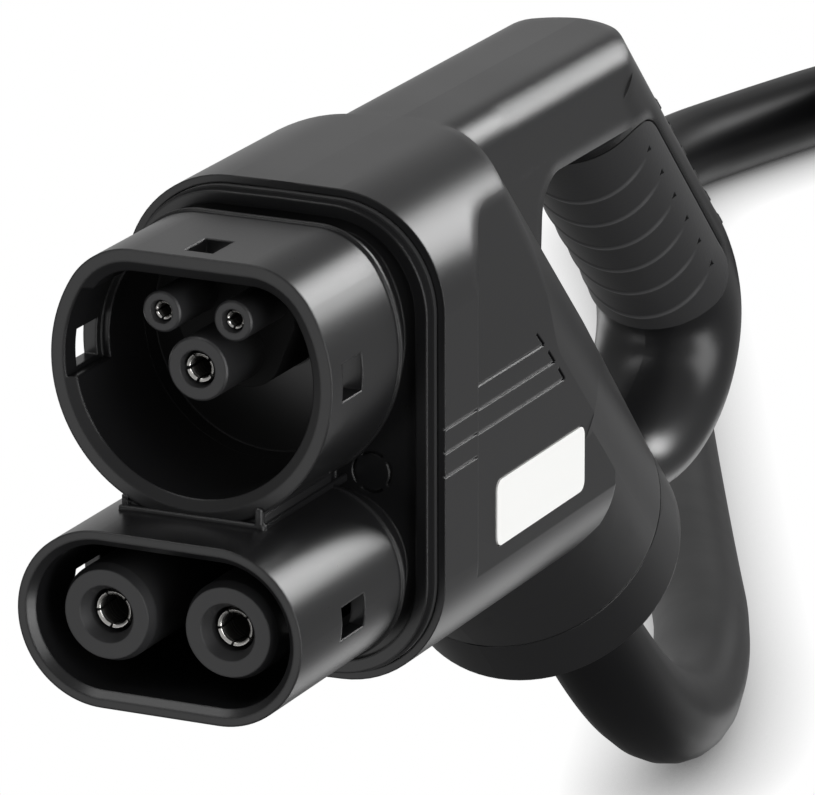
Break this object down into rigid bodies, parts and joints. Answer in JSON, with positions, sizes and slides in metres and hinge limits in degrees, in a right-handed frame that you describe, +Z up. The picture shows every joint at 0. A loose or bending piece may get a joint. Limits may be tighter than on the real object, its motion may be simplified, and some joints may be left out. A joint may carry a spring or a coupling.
{
  "type": "ev charging cable",
  "caption": "DC fast-charging vehicle connector with shrouded contacts, a slanted D-shaped handle with a soft grip pad, and a thick cable ending in a coil.",
  "frame": {"origin": "on the axis of the earth socket, in the plane of the upper shroud's rim", "axes": "+X to the flank that carries the label, +Y from the mating face towards the handle, +Z up; the mating direction is -Y"},
  "size_m": [0.3355, 1.1097, 0.1934],
  "materials": {
    "housing_plastic": "fine moulded texture",
    "frame_plastic": "smooth satin",
    "insulator_plastic": "smooth satin",
    "seal_rubber": "matt",
    "grip_rubber": "soft matt",
    "silver_contact": "silver plated",
    "steel_screw": "zinc plated",
    "label_white": "satin",
    "cable_jacket": "smooth satin",
    "red_insulation": "satin",
    "black_insulation": "satin",
    "green_insulation": "satin",
    "white_insulation": "satin",
    "core_insulation": "satin",
    "tinned_ferrule": "tinned"
  },
  "bodies": {
    "root": {"housing_right": "housing_plastic", "housing_left": "housing_plastic", "housing_screws": "steel_screw", "upper_shroud": "frame_plastic", "lower_shroud": "frame_plastic", "flange_plate": "frame_plastic", "flange_gasket": "seal_rubber", "signal_contact_carrier": "insulator_plastic", "dc_sleeve_right": "insulator_plastic", "dc_sleeve_left": "insulator_plastic", "dc_positive_socket": "silver_contact", "dc_negative_socket": "silver_contact", "earth_socket": "silver_contact", "proximity_socket": "silver_contact", "pilot_socket": "silver_contact", "dc_core_positive": "red_insulation", "dc_core_negative": "black_insulation", "earth_core": "green_insulation", "proximity_core": "white_insulation", "pilot_core": "white_insulation", "cable_clamp_upper": "frame_plastic", "cable_clamp_lower": "frame_plastic", "clamp_screws": "steel_screw", "cable_grommet": "seal_rubber", "grip_pad": "grip_rubber", "label_plate": "label_white", "cable_run": "cable_jacket", "cable_coil": "cable_jacket", "cable_tail": "cable_jacket", "open_end_cores": "core_insulation", "open_end_ferrules": "tinned_ferrule"}
  },
  "joints": []
}
